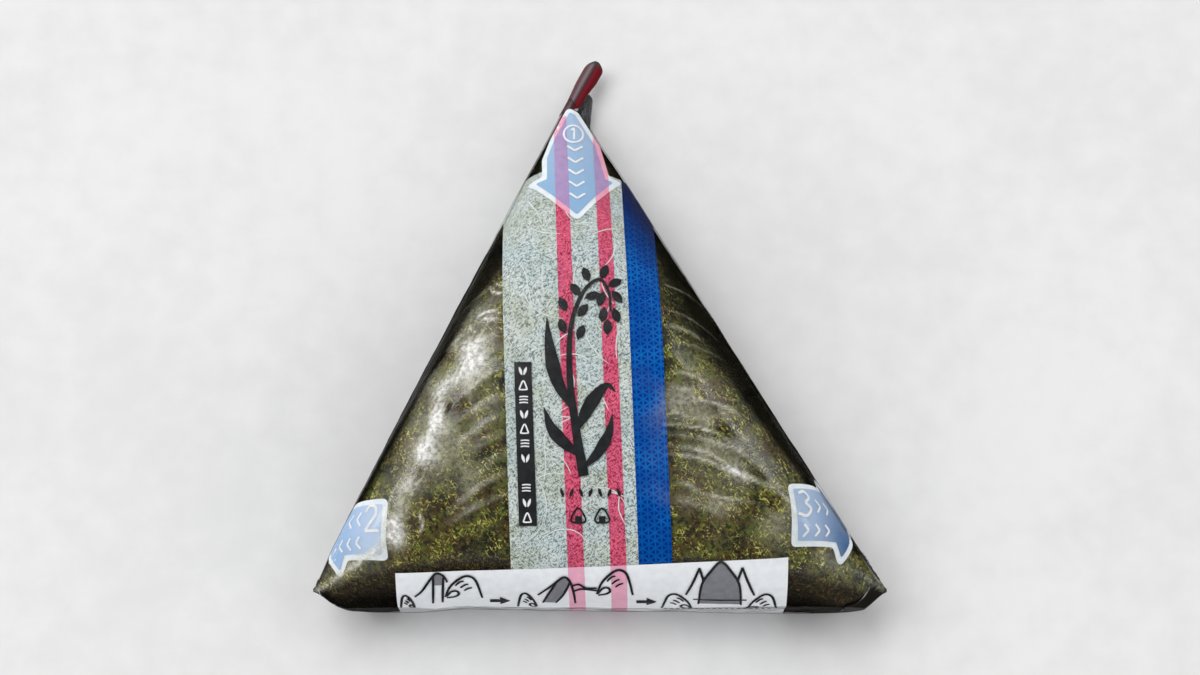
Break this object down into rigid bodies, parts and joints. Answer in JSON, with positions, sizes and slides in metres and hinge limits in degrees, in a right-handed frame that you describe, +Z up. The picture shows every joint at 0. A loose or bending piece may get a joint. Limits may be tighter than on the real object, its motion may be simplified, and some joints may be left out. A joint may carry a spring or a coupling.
{
  "type": "wrapped onigiri",
  "caption": "Triangular rice ball wrapped in nori, in a tight clear film pack with pointed ears, a pinched apex and a curled tear tab, lying on its back.",
  "frame": {"origin": "middle of the whole box, on the surface that the pack lies on", "axes": "+X towards the right ear, +Y from the base to the apex and its tear tab, +Z up through the front face"},
  "size_m": [0.108, 0.1112, 0.031],
  "materials": {
    "nori": "dark green nori under tight glossy clear film",
    "printed_film": "glossy printed film, pink, blue and white",
    "clear_film": "thin clear glossy film, creased"
  },
  "bodies": {
    "root": {"film_pack": "nori", "tear_tab": "printed_film", "film_tongue": "clear_film"}
  },
  "joints": []
}
